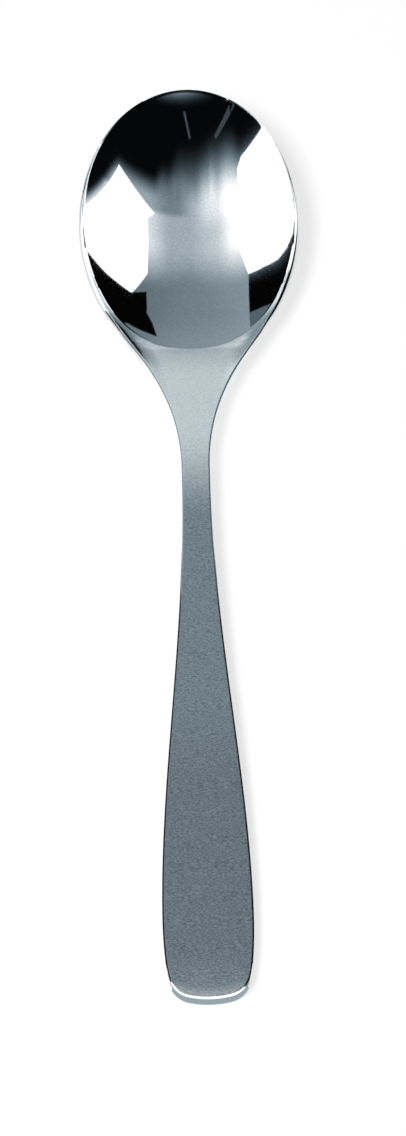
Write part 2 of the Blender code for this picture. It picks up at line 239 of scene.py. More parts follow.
def dish_edge(angle):
    """Point of the dish's edge, angle counted from the tip towards +X."""
    if cos(angle) >= 0:
        rim = rim_width(WIDEST_Y + HALF_LENGTH * cos(angle))
        return (HALF_WIDTH - rim) * sin(angle), WIDEST_Y + (HALF_LENGTH - rim) * cos(angle)
    half_width = HALF_WIDTH - SIDE_RIM_WIDTH
    power = mix(1.0, HEEL_FULLNESS, smooth_step(2 * abs(angle) / pi - 1))
    side = 1 if angle > 0 else -1
    x = side * half_width * abs(sin(angle)) ** power
    return x, WIDEST_Y - (WIDEST_Y - HEEL_Y) * abs(cos(angle)) ** power


def outline_beside(angle):
    """Point of the outline that belongs to the dish edge's point at this angle."""
    if cos(angle) >= 0:
        return HALF_WIDTH * sin(angle), WIDEST_Y + HALF_LENGTH * cos(angle)
    x, y = dish_edge(angle)
    return (1 if x > 0 else -1) * bowl_half_width(y), y


SOLID_TIP_Y = TIP_Y - RIM_WIDTH   # the solid's dish starts here
TIP_RISE = sheet_top(0, SOLID_TIP_Y) - FLOOR_THICKNESS
HEEL_RISE = sheet_top(0, HEEL_Y) - FLOOR_THICKNESS
LOWEST_Y = HEEL_Y + (SOLID_TIP_Y - HEEL_Y) / (1 + sqrt(TIP_RISE / HEEL_RISE))


def relaxed(values):
    """A closed row of heights with its kinks smoothed out."""
    count = len(values)
    for _ in range(RELAX_PASSES):
        values = [(values[i - 1] + 2 * values[i] + values[(i + 1) % count]) / 4 for i in range(count)]
    return values


def dish_point(edge, ring, floor, height):
    """Point of the dish between its lowest place, ring 0, and its edge, ring 1."""
    rise = (1 - sqrt(1 - (DISH_STEEPNESS * ring) ** 2)) / (1 - sqrt(1 - DISH_STEEPNESS ** 2))
    return edge[0] * ring, mix(LOWEST_Y, edge[1], ring), max(0.0, mix(floor, height, rise))


print("dish: lowest place at y = %.1f mm" % (LOWEST_Y / MM))

# %% [markdown]
# ## Skin patches
# The bowl could start from a sphere, but a sphere's faces bunch up at its pole and don't follow the
# heel. Here each stretch of the surface is a grid primitive, laid vertex by vertex on its place. The
# patches share their border points, so joining them and merging doubles sews them into one skin.

# %% Laying and sewing
TOUCHING = 0.0005 * MM


def laid_grid(columns, rows, place):
    """A new grid whose vertex in column i and row j lies at place(i, j)."""
    bpy.ops.object.select_all(action="DESELECT")
    bpy.ops.mesh.primitive_grid_add(x_subdivisions=columns, y_subdivisions=rows, size=LENGTH)
    patch = bpy.context.object
    for vertex in patch.data.vertices:
        vertex.co = place(vertex.index % (columns + 1), vertex.index // (columns + 1))
    return patch


def laid_columns(columns):
    """A new grid through these columns of points."""
    return laid_grid(len(columns) - 1, len(columns[0]) - 1, lambda i, j: columns[i][j])


def sewn(name, patches):
    """One piece from patches that share their borders, with its open end filled."""
    bpy.ops.object.select_all(action="DESELECT")
    for patch in patches:
        patch.select_set(True)
    bpy.context.view_layer.objects.active = patches[0]
    bpy.ops.object.join()
    piece = bpy.context.object
    piece.name = piece.data.name = name
    bpy.ops.object.mode_set(mode="EDIT")
    bpy.ops.mesh.select_all(action="SELECT")
    bpy.ops.mesh.remove_doubles(threshold=TOUCHING)
    bpy.ops.mesh.select_all(action="DESELECT")
    bpy.ops.mesh.select_non_manifold()
    bpy.ops.mesh.edge_face_add()
    bpy.ops.mesh.select_all(action="SELECT")
    bpy.ops.mesh.normals_make_consistent(inside=False)
    bpy.ops.object.mode_set(mode="OBJECT")
    return piece


print("patches touch within %.4f mm" % (TOUCHING / MM))

# %% [markdown]
# ## The rounded edge
# Cutlery has no sharp rim. The bowl's rim rolls over from the dish and falls away outwards, and the
# neck has small rounds on both sides. A bevel would give one width all along, so the edge is a patch
# of its own: an arc above and an arc below, with a size that grows from the neck to the rim.

# %% Edge sizes
NECK_ROUND = 0.28 * MM
UNDER_ROUND = 0.2 * MM
RIM_LAND = 0.02 * MM              # level strip between the dish's edge and the round
RIM_GROWTH = 8.0 * MM             # length over which the neck's round grows to the rim's
RIM_LEAN = radians(20)            # how much the rim leans outwards where it leaves the dish
ROUND_STEPS = 10


def rim_share(y):
    """0 beside the neck, 1 where the edge has become the rim."""
    return smooth_step((y - HEEL_Y) / RIM_GROWTH)


def round_width(y):
    return mix(NECK_ROUND, rim_width(y) - RIM_LAND, rim_share(y))


def inset(outer, inner, distance):
    """Plan point at this distance from the outline, towards the inner point."""
    reach = hypot(inner[0] - outer[0], inner[1] - outer[1])
    return tuple(mix(o, i, distance / reach) for o, i in zip(outer, inner))


def arc(width, lean):
    """Inset and depth of the points on an arc of this width, from this lean to upright."""
    radius = width / (1 - sin(lean))
    turns = [mix(lean, pi / 2, i / ROUND_STEPS) for i in range(ROUND_STEPS + 1)]
    return [(radius * (1 - sin(t)), radius * (cos(lean) - cos(t))) for t in turns]


def edge_column(outer, inner, upper_arc, lower_arc, top, underside):
    """Points round the edge, from the upper face to the lower one."""
    top_height = top(*inset(outer, inner, upper_arc[0][0]))
    low_height = underside(*inset(outer, inner, lower_arc[0][0]))
    upper = [(inward, top_height - depth) for inward, depth in upper_arc]
    lower = [(inward, low_height + depth) for inward, depth in reversed(lower_arc)]
    return [(*inset(outer, inner, inward), height) for inward, height in upper + lower]


print("edge: %.2f mm wide on the sides of the rim" % (round_width(WIDEST_Y) / MM))

# %% [markdown]
# ## The bowl
# The dish is a disc of rings round its lowest place. The land beside it runs out to the rounded rim,
# and behind the heel it widens into the neck. A solidify modifier could thicken one such sheet, but the
# steel is thin at the rim and thick in the neck. So the underside has three such patches of its own.

# %% Bowl patches
ANGLE_STEP = radians(1)
DISH_RING_COUNT = 64
BELLY_RING_COUNT = 40
LAND_STEPS = 14
NECK_ROW_COUNT = 70
LIFT_REACH = 0.12                 # share of the neck over which the relaxed edge returns to the sheet

around_count = round(2 * HEEL_CORNER / ANGLE_STEP)
around = [mix(-HEEL_CORNER, HEEL_CORNER, i / around_count) for i in range(around_count + 1)]
heel_count = round((pi - HEEL_CORNER) / ANGLE_STEP)
heel_angles = [mix(HEEL_CORNER, pi, i / heel_count) for i in range(heel_count + 1)]
heel_loop = heel_angles[1:] + [-a for a in reversed(heel_angles[1:-1])]
dish_loop = [dish_edge(a) for a in around + heel_loop]
corner_x, corner_y = dish_edge(HEEL_CORNER)


def neck_columns(lifts):
    """Each column across the neck: land share, share of the flat, bow of the heel line and lift."""
    land = [(i / LAND_STEPS, 1.0, 0.0, lifts[around_count] * i / LAND_STEPS) for i in range(LAND_STEPS)]
    heel = []
    for k, angle in enumerate(heel_angles):
        x, y = dish_edge(angle)
        heel.append((1.0, x / corner_x, y - corner_y, lifts[around_count + k]))
    half = land + heel
    return half + [(inward, -share, bow, lift) for inward, share, bow, lift in reversed(half[:-1])]


def surface_patches(floor, height, edge_width, ring_count):
    """Dish, land and neck of one side of the sheet."""
    edge_heights = [height(*point) for point in dish_loop]
    soft_heights = relaxed(edge_heights)
    lifts = [soft - exact for soft, exact in zip(soft_heights, edge_heights)]
    columns = neck_columns(lifts)

    def in_dish(i, j):
        i %= len(dish_loop)
        return dish_point(dish_loop[i], j / ring_count, floor, soft_heights[i])

    def on_land(i, j):
        edge, outer = dish_edge(around[i]), outline_beside(around[i])
        start = inset(outer, edge, edge_width(outer[1]))
        x, y = (mix(e, s, j / LAND_STEPS) for e, s in zip(edge, start))
        return x, y, height(x, y) + lifts[i] * (1 - j / LAND_STEPS)

    def on_neck(i, j):
        along = j / NECK_ROW_COUNT
        y = mix(corner_y, JOINT_Y, along)
        inward, share, bow, lift = columns[i]
        edge_x = bowl_half_width(y) - edge_width(y)
        corner_flat = bowl_half_width(corner_y) - edge_width(corner_y)
        x, y = share * edge_x * mix(1.0, corner_x / corner_flat, inward), y + bow * (1 - along)
        return x, y, height(x, y) + lift * (1 - smooth_step(along / LIFT_REACH))

    return [laid_grid(len(dish_loop), ring_count, in_dish),
            laid_grid(around_count, LAND_STEPS, on_land),
            laid_grid(len(columns) - 1, NECK_ROW_COUNT, on_neck)]


def bowl_edge_patch():
    """The rounded edge from the joint on the left side, round the tip, to the joint on the right."""
    neck_y = [mix(corner_y, JOINT_Y, j / NECK_ROW_COUNT) for j in range(1, NECK_ROW_COUNT + 1)]
    right = [((bowl_half_width(y), y), (0.0, y)) for y in neck_y]
    left = [((-outer[0], outer[1]), inner) for outer, inner in reversed(right)]
    border = left + [(outline_beside(a), dish_edge(a)) for a in around] + right
    columns, lower_arc = [], arc(UNDER_ROUND, 0.0)
    for outer, inner in border:
        upper_arc = arc(round_width(outer[1]), RIM_LEAN * rim_share(outer[1]))
        columns.append(edge_column(outer, inner, upper_arc, lower_arc, sheet_top, sheet_underside))
    return laid_columns(columns)


patches = surface_patches(FLOOR_THICKNESS, sheet_top, round_width, DISH_RING_COUNT)
patches += surface_patches(-REST_DRESSING, sheet_underside, lambda y: UNDER_ROUND, BELLY_RING_COUNT)
patches.append(bowl_edge_patch())
bowl = sewn("polished_bowl", patches)
print("bowl skin:", len(bowl.data.polygons), "faces")

# %% [markdown]
# ## Softening the bowl
# Where the dish meets the neck there is a crisp line, the heel, but even that is a tiny round. A narrow
# bevel along the dish's edge makes it. On the back the press leaves no line at all, so the same place
# below is relaxed by smoothing its vertices.

# %% Heel round and smooth back
HEEL_ROUND = 0.12 * MM
HEEL_ROUND_STEPS = 4
SMOOTH_ANGLE = radians(40)
BACK_REACH = 5.0 * MM             # the back is smoothed up to this far from the heel
BACK_PASSES = 120
SAME_HEIGHT = 0.01 * MM
KEY_STEP = 4 * TOUCHING           # plan points are compared in steps of this length


def select_where(piece, wanted):
    """In edit mode, selects the vertices that pass the test, and the edges between them."""
    bpy.ops.object.mode_set(mode="EDIT")
    bpy.ops.mesh.select_mode(type="VERT")
    bpy.ops.mesh.select_all(action="DESELECT")
    bpy.ops.object.mode_set(mode="OBJECT")
    for vertex in piece.data.vertices:
        vertex.select = wanted(vertex)
    bpy.ops.object.mode_set(mode="EDIT")
    bpy.ops.mesh.select_mode(type="EDGE")


def plan_key(x, y):
    return round(x / KEY_STEP), round(y / KEY_STEP)


edge_keys = {plan_key(*point) for point in dish_loop}


def on_dish_edge(vertex):
    x, y, z = vertex.co
    return plan_key(x, y) in edge_keys and abs(z - sheet_top(x, y)) < SAME_HEIGHT


def on_back_of_heel(vertex):
    x, y, _ = vertex.co
    inside = abs(x) < bowl_half_width(min(y, WIDEST_Y)) - 2 * UNDER_ROUND
    return abs(y - HEEL_Y) < BACK_REACH and inside and vertex.normal.z < 0


select_where(bowl, on_back_of_heel)
bpy.ops.mesh.vertices_smooth(factor=0.5, repeat=BACK_PASSES)
select_where(bowl, on_dish_edge)
bpy.ops.mesh.bevel(offset=HEEL_ROUND, segments=HEEL_ROUND_STEPS, affect="EDGES")
bpy.ops.object.mode_set(mode="OBJECT")
bpy.ops.object.shade_smooth_by_angle(angle=SMOOTH_ANGLE)
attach(bowl, "root")
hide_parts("bowl")
print("bowl:", len(bowl.data.polygons), "faces")

# %% [markdown]
# ## The handle's outline
# The handle is a flat strip with a smooth taper, rounded corners and a shallow arc at its end. A curve
# object could be bent to this, but its points would have to be moved by hand. Here the sides and the arc
# come from the sizes above, and each corner is a curve that is drawn towards the sharp corner.

# %% Handle outline
HANDLE_STATIONS = 70
SIDE_REACH = 2.2 * MM             # how far a corner's round reaches up the side
ARC_REACH = 1.9 * MM              # and along the end
CORNER_STEPS = 14
END_ARC_STEPS = 20
END_ROUND = 0.45 * MM
END_UNDER_ROUND = 0.4 * MM
END_BLEND = 4.0 * MM              # length over which the sides' round grows to the end's


def end_arc_y(x):
    return END_Y + END_ARC_RADIUS - sqrt(END_ARC_RADIUS ** 2 - x * x)


def rounded_corner():
    """The right corner of the end: a curve from the side to the arc, drawn towards the sharp corner."""
    side_y, arc_x = END_CORNER_Y + SIDE_REACH, END_WIDTH / 2 - ARC_REACH
    first, last = (handle_half_width(side_y), side_y), (arc_x, end_arc_y(arc_x))
    sharp = (END_WIDTH / 2, END_CORNER_Y)
    points = []
    for step in range(CORNER_STEPS + 1):
        u = step / CORNER_STEPS
        pulls = ((1 - u) ** 2, 2 * u * (1 - u), u * u)
        points.append(tuple(sum(p * c[k] for p, c in zip(pulls, (first, sharp, last))) for k in (0, 1)))
    return points


def mirrored(points):
    return [(-x, y) for x, y in reversed(points)]


corner = rounded_corner()
side_ys = [mix(JOINT_Y, corner[0][1], i / HANDLE_STATIONS) for i in range(HANDLE_STATIONS)]
right_side = [(handle_half_width(y), y) for y in side_ys]
arc_xs = [mix(corner[-1][0], -corner[-1][0], i / END_ARC_STEPS) for i in range(1, END_ARC_STEPS)]
handle_end = corner + [(x, end_arc_y(x)) for x in arc_xs] + mirrored(corner)
handle_outline = right_side + handle_end + mirrored(right_side)
print("handle outline:", len(handle_outline), "points")

# %% [markdown]
# ## The handle's faces
# One face with a bevel would do for the handle's shape, but a satin finish that changes along it needs
# points inside the face. So the handle is sewn from patches too: a strip and an end on each side, and a
# rounded edge that grows wider at the end.

# %% Handle patches
END_ROWS = 12


def end_share(y):
    """0 on the handle's sides, 1 on its end."""
    return smooth_step((END_CORNER_Y + END_BLEND - y) / END_BLEND)


def inner_point(index):
    """A point square to the outline, on its inside, 1 mm away."""
    x, y = handle_outline[index]
    if index in (0, len(handle_outline) - 1):
        return 0.0, y
    (x0, y0), (x1, y1) = handle_outline[index - 1], handle_outline[index + 1]
    length = hypot(x1 - x0, y1 - y0)
    return x + (y1 - y0) / length * MM, y - (x1 - x0) / length * MM


def strip_top(x, y):
    return handle_top(y)


def strip_underside(x, y):
    return handle_underside(y)


def face_patches(plan, height):
    """The strip and the end of one face, inside this plan."""
    side, end = plan[:HANDLE_STATIONS + 1], plan[HANDLE_STATIONS:-HANDLE_STATIONS]
    shares = [x / end[0][0] for x, _ in end]

    def on_strip(i, j):
        x, y = shares[i] * side[j][0], side[j][1]
        return x, y, height(x, y)

    def on_end(i, j):
        x, y = end[i][0], mix(end[0][1], end[i][1], j / END_ROWS)
        return x, y, height(x, y)

    return [laid_grid(len(end) - 1, HANDLE_STATIONS, on_strip), laid_grid(len(end) - 1, END_ROWS, on_end)]


def handle_patches():
    """The rounded edge, then the two patches of the upper face and of the lower one."""
    columns, upper_plan, lower_plan = [], [], []
    for index, outer in enumerate(handle_outline):
        inner, share = inner_point(index), end_share(outer[1])
        upper_arc = arc(mix(NECK_ROUND, END_ROUND, share), 0.0)
        lower_arc = arc(mix(UNDER_ROUND, END_UNDER_ROUND, share), 0.0)
        columns.append(edge_column(outer, inner, upper_arc, lower_arc, strip_top, strip_underside))
        upper_plan.append(columns[-1][0][:2])
        lower_plan.append(columns[-1][-1][:2])
    made = [laid_columns(columns)]
    for plan, height in ((upper_plan, strip_top), (lower_plan, strip_underside)):
        made += face_patches(plan, height)
    return made


handle = sewn("satin_handle", handle_patches())
bpy.ops.object.shade_smooth_by_angle(angle=SMOOTH_ANGLE)
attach(handle, "root")
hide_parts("handle")
print("handle:", len(handle.data.polygons), "faces")

# %% [markdown]
# ## Shader maths
# A finish is a chain of nodes. It could be wired by hand, one node and one link at a time, but sums are
# easier to read. This small class wraps a socket, so that an ordinary Python expression adds the Math
# nodes that work it out, and one method adds any other node.

# %% Shader maths helper
class Socket:
    """A node socket that takes part in Python expressions."""

    def __init__(self, tree, output=None):
        self.tree, self.output = tree, output

    def node(self, kind, settings=None, out=0, **inputs):
        """Adds a node, sets or links its inputs and returns one output. Input i0 is its first input."""
        made = self.tree.nodes.new(kind)
        for name, value in (settings or {}).items():
            setattr(made, name, value)
        for name, value in inputs.items():
            socket = made.inputs[int(name[1:]) if name[1:].isdigit() else name.replace("_", " ")]
            if isinstance(value, Socket):
                self.tree.links.new(value.output, socket)
            else:
                socket.default_value = value
        return Socket(self.tree, made.outputs[out])

    def maths(self, operation, first, second=0.0):
        return self.node("ShaderNodeMath", {"operation": operation}, i0=first, i1=second)

    def __add__(self, other):
        return self.maths("ADD", self, other)

    def __sub__(self, other):
        return self.maths("SUBTRACT", self, other)

    def __rsub__(self, other):
        return self.maths("SUBTRACT", other, self)

    def __mul__(self, other):
        return self.maths("MULTIPLY", self, other)

    __radd__ = __add__
    __rmul__ = __mul__

    def into(self, socket):
        self.tree.links.new(self.output, socket)


def new_material(name):
    """A node material, its principled shader and a socket to start expressions from."""
    material = bpy.data.materials.new(name)
    material.use_nodes = True
    shader = material.node_tree.nodes["Principled BSDF"]
    return material, shader, Socket(material.node_tree)


print("shader maths ready")

# %% [markdown]
# ## Where the steel is polished
# Both pieces are the same steel. The dish and its rim are buffed to a mirror, the neck keeps a soft
# gloss, and from there to the end the faces are satin while the rounded edges stay bright. A material
# for each stretch would leave hard borders. Instead two numbers per face corner say how the steel is
# finished there: the share of the soft gloss and the share of the satin. Each share also picks a tint,
# and these add painted light: a painted sheen where the gloss is, painted shade where the satin is.

# %% Finish of each place
SATIN_FROM_Y = 15.0 * MM          # bright towards the tip of this place
SATIN_TO_Y = 1.5 * MM             # satin towards the end of this place
SHINE = 0.65                      # share of polish on the face beside the end's round
SHINE_LENGTH = 1.8 * MM           # length of the face over which it runs out
GLOSS_BLEND = 1.5 * MM            # length over which the rim's mirror passes into the wings' gloss
EDGE_GLOSS = 0.5                  # the rounded edges are between mirror and soft gloss
FLAT_LEAN, ROUND_LEAN = 0.985, 0.90  # upward share of the normals of flat faces and of rounds


def flat_share(normal):
    """1 on level faces, 0 on the rounded edges and the sides."""
    return smooth_step((abs(normal.z) - ROUND_LEAN) / (FLAT_LEAN - ROUND_LEAN))


def gloss_share(place, normal):
    in_dish = place.z < sheet_top(place.x, place.y) - SAME_HEIGHT and place.y > HEEL_Y - HEEL_ROUND
    if in_dish:
        return 0.0
    away = smooth_step((HEEL_Y + GLOSS_BLEND - place.y) / GLOSS_BLEND)
    return away * mix(EDGE_GLOSS, 1.0, flat_share(normal))


def end_shine(place):
    """Share of the end's polish, which fades with the distance from the end."""
    if place.y > END_Y + 2 * SHINE_LENGTH:
        return 0.0
    return SHINE * (1 - smooth_step((place.y - end_arc_y(place.x)) / SHINE_LENGTH))


def satin_share(place, normal):
    along = smooth_step((SATIN_FROM_Y - place.y) / (SATIN_FROM_Y - SATIN_TO_Y))
    return along * flat_share(normal) * (1 - end_shine(place))


def write_finish(piece):
    mesh = piece.data
    for name, rule in (("gloss", gloss_share), ("satin", satin_share)):
        values = mesh.attributes.new(name, "FLOAT", "CORNER")
        for face in mesh.polygons:
            for loop in face.loop_indices:
                place = mesh.vertices[mesh.loops[loop].vertex_index].co
                values.data[loop].value = rule(place, face.normal)


for piece in (bowl, handle):
    write_finish(piece)
print("finish written on", len(bowl.data.loops) + len(handle.data.loops), "face corners")

# %% [markdown]
# ## Steel
# Polishing and brushing leave a fine grain that runs across the spoon. A picture of brushed steel would
# blur up close, so a noise stretched along X makes it: it tints the steel a little and it changes the
# roughness, more on the satin than on the mirror. The satin is painted a little darker on the handle's
# wide part: painted shade, for the darker room that it mirrors there.

# %% Steel finish
# Painted light in the tints: the gloss tint is brighter than the steel's own colour, a painted sheen on
# the neck and the edges, and the satin tint is darker, a painted shade on the handle's faces.
MIRROR_TINT = (0.695, 0.70, 0.71)
GLOSS_AND_SHEEN_TINT = (1.0, 0.968, 0.932)
SATIN_AND_SHADE_TINT = (0.333, 0.374, 0.399)
MIRROR_GRAIN, GLOSS_GRAIN, SATIN_GRAIN = 0.14, 0.12, 0.42
MIRROR_BLUR, GLOSS_BLUR, SATIN_BLUR = 0.035, 0.20, 0.36
GRAIN_STRETCH = (0.3, 1.0, 1.0)
GRAIN_SCALE = 11000.0
GRAIN_DETAIL = 4.0
GRAIN_CONTRAST = (0.34, 0.66)
GRAIN_IN_BLUR = 0.4
# Painted shade: the satin is painted darker between these places, for the darker room that the handle's
# wide part mirrors.
SHADE_BAND_Y = (-20 * MM, -34 * MM)     # the satin gets darker between these places
SHADE_BAND_END_Y = (-53 * MM, -59 * MM)    # and lighter again between these
PAINTED_SHADE_DEPTH = 0.16


def blend(start, share, first, second):
    """A colour between two others."""
    return start.node("ShaderNodeMix", {"data_type": "RGBA"}, out=2, i0=share, i6=first, i7=second)


def tinted(start, tint, spread, grain):
    """A tint that the grain makes darker and lighter by this spread."""
    dark, light = ((*(c * factor for c in tint), 1) for factor in (1 - spread, 1 + spread))
    return blend(start, grain, dark, light)


def between(start, value, ends, kind="SMOOTHSTEP"):
    """0 up to the first end and 1 from the second end on."""
    settings = {"interpolation_type": kind}
    return start.node("ShaderNodeMapRange", settings, Value=value, From_Min=ends[0], From_Max=ends[1])


def steel_finish(name):
    material, shader, start = new_material(name)
    place = start.node("ShaderNodeTexCoord", out="Object")
    stretched = start.node("ShaderNodeVectorMath", {"operation": "MULTIPLY"}, i0=place, i1=GRAIN_STRETCH)
    noise = start.node("ShaderNodeTexNoise", out="Fac", Vector=stretched, Scale=GRAIN_SCALE,
                       Detail=GRAIN_DETAIL)
    grain = between(start, noise, GRAIN_CONTRAST, "LINEAR")
    gloss = start.node("ShaderNodeAttribute", {"attribute_name": "gloss"}, out="Fac")
    satin = start.node("ShaderNodeAttribute", {"attribute_name": "satin"}, out="Fac")
    mirror_steel = tinted(start, MIRROR_TINT, MIRROR_GRAIN, grain)
    gloss_and_sheen_steel = tinted(start, GLOSS_AND_SHEEN_TINT, GLOSS_GRAIN, grain)
    satin_and_shade_steel = tinted(start, SATIN_AND_SHADE_TINT, SATIN_GRAIN, grain)
    along = start.node("ShaderNodeSeparateXYZ", out="Y", Vector=place)
    # painted shade along the handle's wide part
    tone = 1 - between(start, along, SHADE_BAND_Y) * (1 - between(start, along, SHADE_BAND_END_Y)) * PAINTED_SHADE_DEPTH
    painted_shade_steel = start.node("ShaderNodeVectorMath", {"operation": "SCALE"}, Vector=satin_and_shade_steel, Scale=tone)
    bright_steel = blend(start, gloss, mirror_steel, gloss_and_sheen_steel)
    blend(start, satin, bright_steel, painted_shade_steel).into(shader.inputs["Base Color"])
    blur = MIRROR_BLUR + gloss * (GLOSS_BLUR - MIRROR_BLUR) + satin * (SATIN_BLUR - GLOSS_BLUR)
    rough = blur * (1 + (grain - 0.5) * GRAIN_IN_BLUR)
    rough.into(shader.inputs["Roughness"])
    shader.inputs["Metallic"].default_value = 1.0
    return material


steel = steel_finish("steel")
for piece in (bowl, handle):
    piece.data.materials.clear()
    piece.data.materials.append(steel)
print("steel: satin below y = %.1f mm" % (SATIN_TO_Y / MM))

# %% [markdown]
# ## Floor and light
# A plain pale floor carries the shadow. One soft lamp stands high on the left, a little in front, so
# the shadow falls to the right, and a pale world fills in. A stronger lamp could make the floor white,
# but it would burn out the shadow too. So most of the floor's look is plain white, and the rest is lit.

# %% Floor, lamp and world
FLOOR_SIDE = 6.0
FLOOR_COLOUR = (0.96, 0.96, 0.96, 1)
FLOOR_GLOW = 0.70                 # share of the floor's look that is plain white
WORLD_FILL = 0.30
KEY_POWER = 5.6
KEY_SIDE, KEY_DISTANCE = 0.24, 0.8
KEY_LEAN = (-0.325, -0.25)        # across and along, for each unit of height
WHITE = (1.0, 1.0, 1.0, 1.0)
DIRECT_RAYS = ("Is Camera Ray", "Is Glossy Ray", "Is Transmission Ray")


def seen_directly(start):
    """1 for camera, glossy and transmission rays, which show the background as it is."""
    path = start.node("ShaderNodeLightPath").output.node.outputs
    camera, glossy, transmission = (Socket(start.tree, path[name]) for name in DIRECT_RAYS)
    return start.maths("MINIMUM", camera + glossy + transmission, 1.0)


def make_floor():
    bpy.ops.object.select_all(action="DESELECT")
    bpy.ops.mesh.primitive_plane_add(size=FLOOR_SIDE)
    floor = bpy.context.object
    floor.name = "floor"
    material, shader, start = new_material("pale_floor")
    shader.inputs["Base Color"].default_value = FLOOR_COLOUR
    shader.inputs["Roughness"].default_value = 1.0
    shader.inputs["Specular IOR Level"].default_value = 0.0
    lit = Socket(start.tree, shader.outputs[0])
    white = start.node("ShaderNodeEmission", Color=WHITE, Strength=1.0)
    mixed = start.node("ShaderNodeMixShader", i0=seen_directly(start) * FLOOR_GLOW, i1=lit, i2=white)
    mixed.into(material.node_tree.nodes["Material Output"].inputs["Surface"])
    floor.data.materials.append(material)


def make_world():
    world = bpy.data.worlds.new("studio")
    bpy.context.scene.world = world
    world.use_nodes = True
    start = Socket(world.node_tree)
    background = world.node_tree.nodes["Background"]
    background.inputs["Color"].default_value = WHITE
    strength = seen_directly(start) * (1 - WORLD_FILL) + WORLD_FILL
    strength.into(background.inputs["Strength"])


def make_key():
    where = Vector((*KEY_LEAN, 1.0)).normalized() * KEY_DISTANCE
    bpy.ops.object.light_add(type="AREA", location=where)
    lamp = bpy.context.object
    lamp.name = "key_lamp"
    lamp.rotation_euler = where.to_track_quat("Z", "Y").to_euler()
    lamp.data.energy, lamp.data.size = KEY_POWER, KEY_SIDE
    lamp.visible_glossy = False


make_floor()
make_world()
make_key()
print("floor, world and key lamp made")

# %% [markdown]
# ## Cards for the mirror to show
# A mirror looks like what stands round it. Photographers hang white and black cards round polished
# metal for that, and so does this scene. Only reflections see the cards, so they change no shadow. A
# card's place is given by two angles, as the bowl sees it: how far across and how far along from
# straight up. Its tone is the level that it should have in the picture, from 0 to 255.

# %% Card helpers
CARD_CENTRE = Vector((0, 41 * MM, 4 * MM))  # near the dish's middle
EDGE_POINTS = 8                   # points on each side of a card, which follows the sphere round the bowl
MIRROR_SHARE = 0.70               # part of the light that polished steel gives back
RED_TINT, BLUE_TINT = -0.22, 0.118
WHITE_LEVEL = 255


def card_place(across, along, distance):
    tilt, turn = radians(hypot(across, along)), atan2(across, along)
    ray = Vector((sin(tilt) * sin(turn), sin(tilt) * cos(turn), cos(tilt)))
    return CARD_CENTRE + ray * distance


def linear(value):
    """Light that gives this value, from 0 to 1, in the picture: the usual display curve."""
    return ((max(value, 0.0) + 0.055) / 1.055) ** 2.4


def light_of(level):
    """Light that looks like this level in polished steel, a little cooler in the middle tones."""
    green = level / WHITE_LEVEL
    tint = max(0.0, green * (1 - green))
    picture = (green + RED_TINT * tint, green, green + BLUE_TINT * tint)
    return tuple(linear(value) / MIRROR_SHARE for value in picture)


card_glow, _, start = new_material("card_glow")
tone = start.node("ShaderNodeAttribute", {"attribute_name": "tone"}, out="Color")
glow = start.node("ShaderNodeEmission", Color=tone, Strength=1.0)
glow.into(card_glow.node_tree.nodes["Material Output"].inputs["Surface"])


def finish_card(card, name, levels):
    """Names a card, writes its level at each vertex and shows it to reflections only."""
    card.name = name
    tones = card.data.attributes.new("tone", "FLOAT_COLOR", "POINT")
    for item, level in zip(tones.data, levels):
        item.color = (*light_of(level), 1)
    card.data.materials.append(card_glow)
    for kind in ("camera", "diffuse", "shadow", "transmission", "volume_scatter"):
        setattr(card, "visible_" + kind, False)


def polygon_card(name, points, level):
    """A card of one level through these points in space."""
    bpy.ops.object.select_all(action="DESELECT")
    bpy.ops.mesh.primitive_circle_add(vertices=len(points), radius=LENGTH, fill_type="TRIFAN")
    card = bpy.context.object
    middle = sum((Vector(point) for point in points), Vector()) / len(points)
    border = iter(points)
    for vertex in card.data.vertices:
        vertex.co = middle if vertex.co.length < TOUCHING else next(border)
    finish_card(card, name, [level] * len(card.data.vertices))


def sky_card(name, corners, distance, level):
    """A card with these corners, as pairs of angles (across, along) in degrees."""
    points = []
    for first, second in zip(corners, corners[1:] + corners[:1]):
        for step in range(EDGE_POINTS):
            angles = [mix(a, b, step / EDGE_POINTS) for a, b in zip(first, second)]
            points.append(card_place(*angles, distance))
    polygon_card(name, points, level)


print("card helpers ready")

# %% [markdown]
# ## The room
# A dome stands for the room: a grey wall behind the tip, a paler roof that gets brighter to both sides,
# and darkness on the viewer's side. A picture on the world could show this too, but it couldn't be tuned
# degree by degree. So each point of the dome has a level of its own, worked out with soft steps.

# %% Dome
DOME_DISTANCE = 0.44
DOME_ACROSS, DOME_ALONG = 110, 95
DOME_CELLS = 220
DARKEST, BRIGHTEST = 6, 262

# Levels, and below them the soft steps between: where each one starts and how long it is, in degrees.
WALL, LOW_WALL_GAIN = 121, 14
WALL_LEAN = 0.42                  # how much the wall gets darker for each degree to the right
ROOF, LEFT_GAIN, RIGHT_GAIN = 166, 40, 50
ROOF_LEAN = 1.5                   # how much the roof gets brighter for each degree to the left
FRONT_GLOW = 32                   # extra light on the roof's front, left of the middle
LOW_FRONT, LOW_FRONT_LEAN = 150, 3  # the bright strip low on the viewer's side
EDGE_DEPTH = 0.26                 # share by which the roof's front edge is darker
LOW_WALL, ROOF_TO_WALL = (52, 25), (20, 20)
LEFT_ROOF, RIGHT_ROOF = (22, 16), (14, 20)
GLOW_SIDE, GLOW_FRONT = (2, 14), (-14, 12)
LEFT_FROM, LEFT_TO, FAR_LEFT = (8, 12), (30, 10), (34, 8)
RIGHT_FROM, FAR_RIGHT = (5, 11), (19, 8)
EDGE_SIDE, EDGE_FRONT, EDGE_BACK = (-4, 14), (-6, 3), (-12, 10)
LOW_FRONT_START, LOW_FRONT_RISE, LOW_FRONT_SIDE = 35, 5.5, (22, 12)

